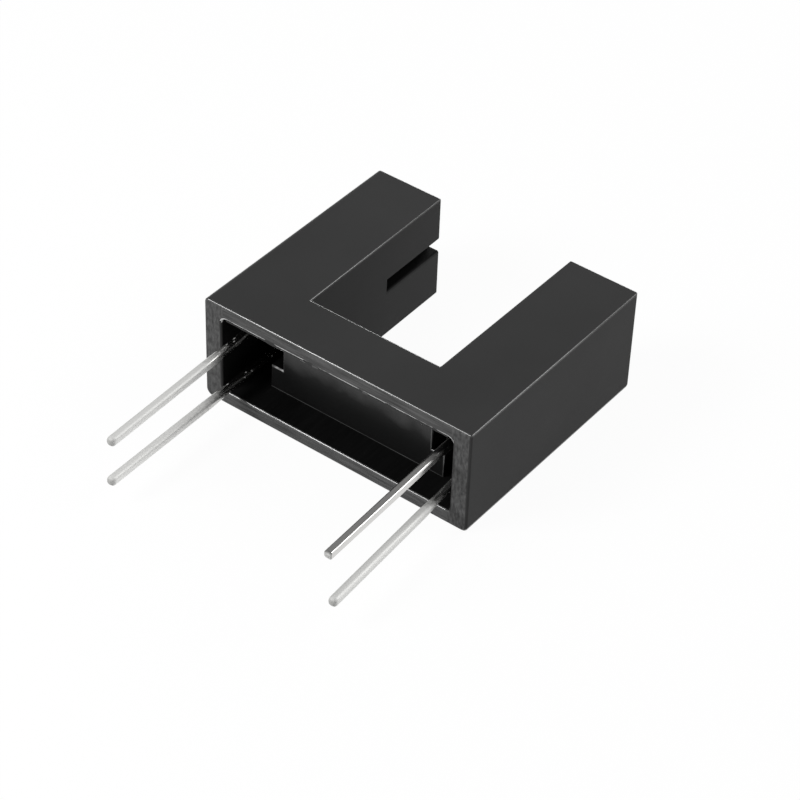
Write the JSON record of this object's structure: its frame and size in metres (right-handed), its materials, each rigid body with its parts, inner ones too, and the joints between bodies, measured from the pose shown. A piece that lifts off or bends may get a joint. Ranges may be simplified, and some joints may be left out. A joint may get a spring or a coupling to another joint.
{
  "type": "slotted optical switch",
  "caption": "U-shaped slotted optical switch: an infrared LED and a phototransistor face each other across a slot in a dark moulded housing with straight tinned leads.",
  "frame": {"origin": "middle of the lead pattern, in the plane of the seat rim and halfway through the thickness", "axes": "+X across the slot towards the LED arm, +Y from the seat rim to the arm tips with the leads towards -Y, +Z through the thickness, up as the part lies on its side"},
  "size_m": [0.0154, 0.0219, 0.0058],
  "materials": {
    "housing_plastic": "fine satin, moulded",
    "clear_resin": "clear moulded epoxy",
    "dark_resin": "dark infrared-passing epoxy",
    "tinned_lead": "bright tin plate",
    "semiconductor": "polished chip",
    "silver_adhesive": "silver-filled epoxy",
    "gold_wire": "drawn gold"
  },
  "bodies": {
    "root": {"housing": "housing_plastic", "led_moulding": "clear_resin", "led_cathode_lead": "tinned_lead", "led_anode_lead": "tinned_lead", "led_chip": "semiconductor", "led_chip_adhesive": "silver_adhesive", "led_bond_wire": "gold_wire", "phototransistor_moulding": "dark_resin", "phototransistor_collector_lead": "tinned_lead", "phototransistor_emitter_lead": "tinned_lead", "phototransistor_chip": "semiconductor", "phototransistor_chip_adhesive": "silver_adhesive", "phototransistor_bond_wire": "gold_wire"}
  },
  "joints": []
}
